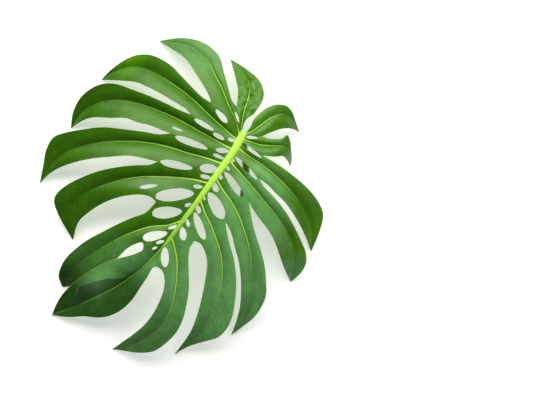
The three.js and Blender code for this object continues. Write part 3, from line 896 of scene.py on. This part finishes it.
ribs = joinUp([makeSideRib(n) for n in range(len(lobes)) if n != tipLobe], "side_ribs")
print("ribs laid")

stalk = {
    "way": [(1.6, 1.0, 55), (1.0, 1.6, 50), (-0.6, 3, 44), (-7, 8, 36.5), (-20, 18, 31), (-39, 33, 26),
            (-65, 62, 18.5), (-88, 91, 11.5), (-108, 118, 6.4)],
    "top": 5.2,            # radius where it joins the midrib
    "cut": 6.2,            # and at its cut end
    "knee": 1.1,           # swelling below the joint
    "kneeAt": 0.09,
    "kneeLength": 0.06,
    "rings": 110,
    "sides": 40,
}


def stalkSizeAt(share):
    radius = stalk["top"] + (stalk["cut"] - stalk["top"]) * share
    radius += stalk["knee"] * math.exp(-((share - stalk["kneeAt"]) / stalk["kneeLength"]) ** 2)
    return radius, radius, radius, 0.0


stalkPiece = makeBar("stalk", Line(stalk["way"]), stalk["rings"], stalk["sides"], stalkSizeAt)


ribLook = {
    "bright": (0.41, 0.71, 0.042, 1),
    "green": (0.27, 0.56, 0.05, 1),
    "dull": (0.13, 0.36, 0.045, 1),
    "flank": (0.27, 0.6, 0.035, 1),        # its sides, where they meet the blade
    "under": (0.3, 0.5, 0.1, 1),
}


def barWays(tree):
    # share of the length, and 0 on top to 1 underneath
    share, around, _ = separate(tree, addNode(tree, "ShaderNodeUVMap", uv_map="barWay").outputs[0])
    return share, around


def fibresAlong(tree, share, around, length, fineness):
    # long thin fibres that follow the bar
    way = combine(tree, times(tree, share, length), times(tree, around, fineness))
    return noiseAt(tree, way, 1.0, 3.0, 0.55)


def makeRibMaterial(name, greenFrom, dullFrom):
    # lime at the start, greener and duller along its length
    material, tree, shader = newMaterial(name)
    where = addNode(tree, "ShaderNodeTexCoord").outputs["Object"]
    share, around = barWays(tree)
    broad = times(tree, calc(tree, "SUBTRACT", noiseAt(tree, where, 22.0, 3.0), 0.5), 0.3)
    way = plus(tree, share, broad)
    colour = mixColour(tree, remap(tree, around, 0.14, 0.45, 0.0, 0.7), ribLook["bright"], ribLook["flank"])
    colour = mixColour(tree, remap(tree, way, *greenFrom), colour, ribLook["green"])
    colour = mixColour(tree, remap(tree, way, *dullFrom), colour, ribLook["dull"])
    colour = mixColour(tree, remap(tree, around, 0.45, 0.6, 0.0, 0.8), colour, ribLook["under"])
    fibres = fibresAlong(tree, share, around, 14.0, 26.0)
    colour = mixColour(tree, remap(tree, fibres, 0.45, 0.7, 0.0, 0.28), colour, ribLook["flank"])
    tree.links.new(colour, shader.inputs["Base Color"])
    gloss = remap(tree, noiseAt(tree, where, 70.0), 0.3, 0.7, 0.3, 0.46)
    tree.links.new(gloss, shader.inputs["Roughness"])
    grain = plus(tree, fibres, times(tree, noiseAt(tree, where, 160.0, 4.0), 0.4))
    addBump(tree, shader, grain, 0.3, 0.0008)
    return material


stalkLook = {
    "green": (0.14, 0.26, 0.035, 1),
    "deep": (0.075, 0.17, 0.02, 1),
    "knee": (0.34, 0.6, 0.06, 1),
    "fleck": (0.42, 0.52, 0.16, 1),
    "cut": (0.55, 0.62, 0.3, 1),
    "fibre": (0.3, 0.36, 0.14, 1),
}


def makeStalkMaterial():
    material, tree, shader = newMaterial("stalkSkin")
    where = addNode(tree, "ShaderNodeTexCoord").outputs["Object"]
    share, around = barWays(tree)
    fibres = fibresAlong(tree, share, around, 9.0, 34.0)
    colour = mixColour(tree, remap(tree, fibres, 0.35, 0.68), stalkLook["green"], stalkLook["deep"])
    flecks = addNode(tree, "ShaderNodeTexVoronoi", in_Scale=420.0)
    tree.links.new(where, flecks.inputs["Vector"])
    spots = remap(tree, flecks.outputs["Distance"], 0.12, 0.3, 0.7, 0.0)
    colour = mixColour(tree, spots, colour, stalkLook["fleck"])
    colour = mixColour(tree, remap(tree, share, 0.02, 0.14, 1.0, 0.0), colour, stalkLook["knee"])
    tree.links.new(colour, shader.inputs["Base Color"])
    tree.links.new(remap(tree, noiseAt(tree, where, 80.0), 0.3, 0.7, 0.38, 0.55), shader.inputs["Roughness"])
    grain = plus(tree, fibres, times(tree, noiseAt(tree, where, 300.0, 4.0), 0.5))
    addBump(tree, shader, grain, 0.35, 0.0007)
    return material


def makeCutMaterial():
    material, tree, shader = newMaterial("stalkCutFace")
    where = addNode(tree, "ShaderNodeTexCoord").outputs["Object"]
    dots = addNode(tree, "ShaderNodeTexVoronoi", in_Scale=900.0)
    tree.links.new(where, dots.inputs["Vector"])
    colour = mixColour(tree, remap(tree, dots.outputs["Distance"], 0.15, 0.35, 1.0, 0.0), stalkLook["cut"],
                       stalkLook["fibre"])
    tree.links.new(colour, shader.inputs["Base Color"])
    tree.links.new(remap(tree, noiseAt(tree, where, 200.0), 0.3, 0.7, 0.45, 0.6), shader.inputs["Roughness"])
    return material


midribPiece.data.materials.append(makeRibMaterial("midribLime", (0.35, 0.62), (0.62, 0.9)))
ribs.data.materials.append(makeRibMaterial("sideRibLime", (0.3, 0.75), (0.62, 0.98)))
stalkPiece.data.materials.append(makeStalkMaterial())
stalkPiece.data.materials.append(makeCutMaterial())
# only the flat cut end is made of triangles
cutEnd = place(Vector(stalk["way"][-1]))
cutReach = (stalk["cut"] + 1) * layout["scale"]
for face in stalkPiece.data.polygons:
    near = all((stalkPiece.data.vertices[v].co - cutEnd).length < cutReach for v in face.vertices)
    if near and len(face.vertices) == 3:
        face.material_index = 1
print("stalk made")

for piece in (leafSkin, midribPiece, ribs):
    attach(piece, "root")
    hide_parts("leaf_blade")
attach(stalkPiece, "root")
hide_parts("leaf_stalk")

# floor, light and camera
studio = {
    "floor": (0.84, 0.84, 0.85, 1),
    "floorSize": 6,
    "floorGlow": 0.35,     # keeps the shadows on the floor pale
    "air": (0.93, 0.96, 1.0, 1),
    "airLight": 0.08,
    "backdrop": (0.97, 0.97, 0.96, 1),
    "keyPower": 136,
    "keySize": (4.4, 2.0),
    "fillPower": 12,
    "fillSize": (1.5, 1.5),
    "cameraHeight": 1.965,
    "lens": 82.95,
}
viewUp = Vector((0.725, -0.69, 0)).normalized()          # up in the picture
viewRight = Vector((-0.69, -0.725, 0)).normalized()
aim = Vector((-0.1017, -0.1273, 0.035))

bpy.ops.mesh.primitive_plane_add(size=studio["floorSize"], location=(0, 0, -0.0004))
floor = bpy.context.object
floor.name = "floor"
material, tree, shader = newMaterial("paperFloor")
shader.inputs["Base Color"].default_value = studio["floor"]
shader.inputs["Roughness"].default_value = 0.85
shader.inputs["Emission Color"].default_value = (1, 1, 1, 1)
shader.inputs["Emission Strength"].default_value = studio["floorGlow"]
floor.data.materials.append(material)
bpy.ops.object.transform_apply(location=True)

# the air gives little light, but looks white behind the floor's edge
world = bpy.data.worlds.new("studioAir")
world.use_nodes = True
air = world.node_tree
dim = air.nodes["Background"]
dim.inputs[0].default_value = studio["air"]
dim.inputs[1].default_value = studio["airLight"]
backdrop = addNode(air, "ShaderNodeBackground", in_Color=studio["backdrop"], in_Strength=1.0)
either = air.nodes.new("ShaderNodeMixShader")
air.links.new(addNode(air, "ShaderNodeLightPath").outputs["Is Camera Ray"], either.inputs[0])
air.links.new(dim.outputs[0], either.inputs[1])
air.links.new(backdrop.outputs[0], either.inputs[2])
air.links.new(either.outputs[0], air.nodes["World Output"].inputs[0])
bpy.context.scene.world = world


def addLight(name, offset, size, power, colour):
    # a soft panel turned to face the leaf
    bpy.ops.object.light_add(type="AREA", location=aim + offset)
    light = bpy.context.object
    light.name = name
    light.data.shape = "RECTANGLE"
    light.data.size, light.data.size_y = size
    light.data.energy = power
    light.data.color = colour
    facing = offset.normalized()
    side = Vector((0, 0, 1)).cross(facing).normalized()
    light.rotation_euler = Matrix((side, facing.cross(side), facing)).transposed().to_euler()


addLight("key", viewUp * 1.75 + Vector((0, 0, 1.7)), studio["keySize"], studio["keyPower"], (1.0, 1.0, 0.92))
addLight("fill", viewRight * 1.3 - viewUp + Vector((0, 0, 1.6)), studio["fillSize"], studio["fillPower"],
         (0.95, 0.98, 1.0))

bpy.ops.object.camera_add(location=aim + Vector((0, 0, studio["cameraHeight"])),
                          rotation=(0, 0, math.atan2(viewRight.y, viewRight.x)))
camera = bpy.context.object
camera.data.lens = studio["lens"]
camera.data.sensor_width = 36
bpy.context.scene.camera = camera
bpy.context.scene.view_settings.view_transform = "Standard"
print("studio set")
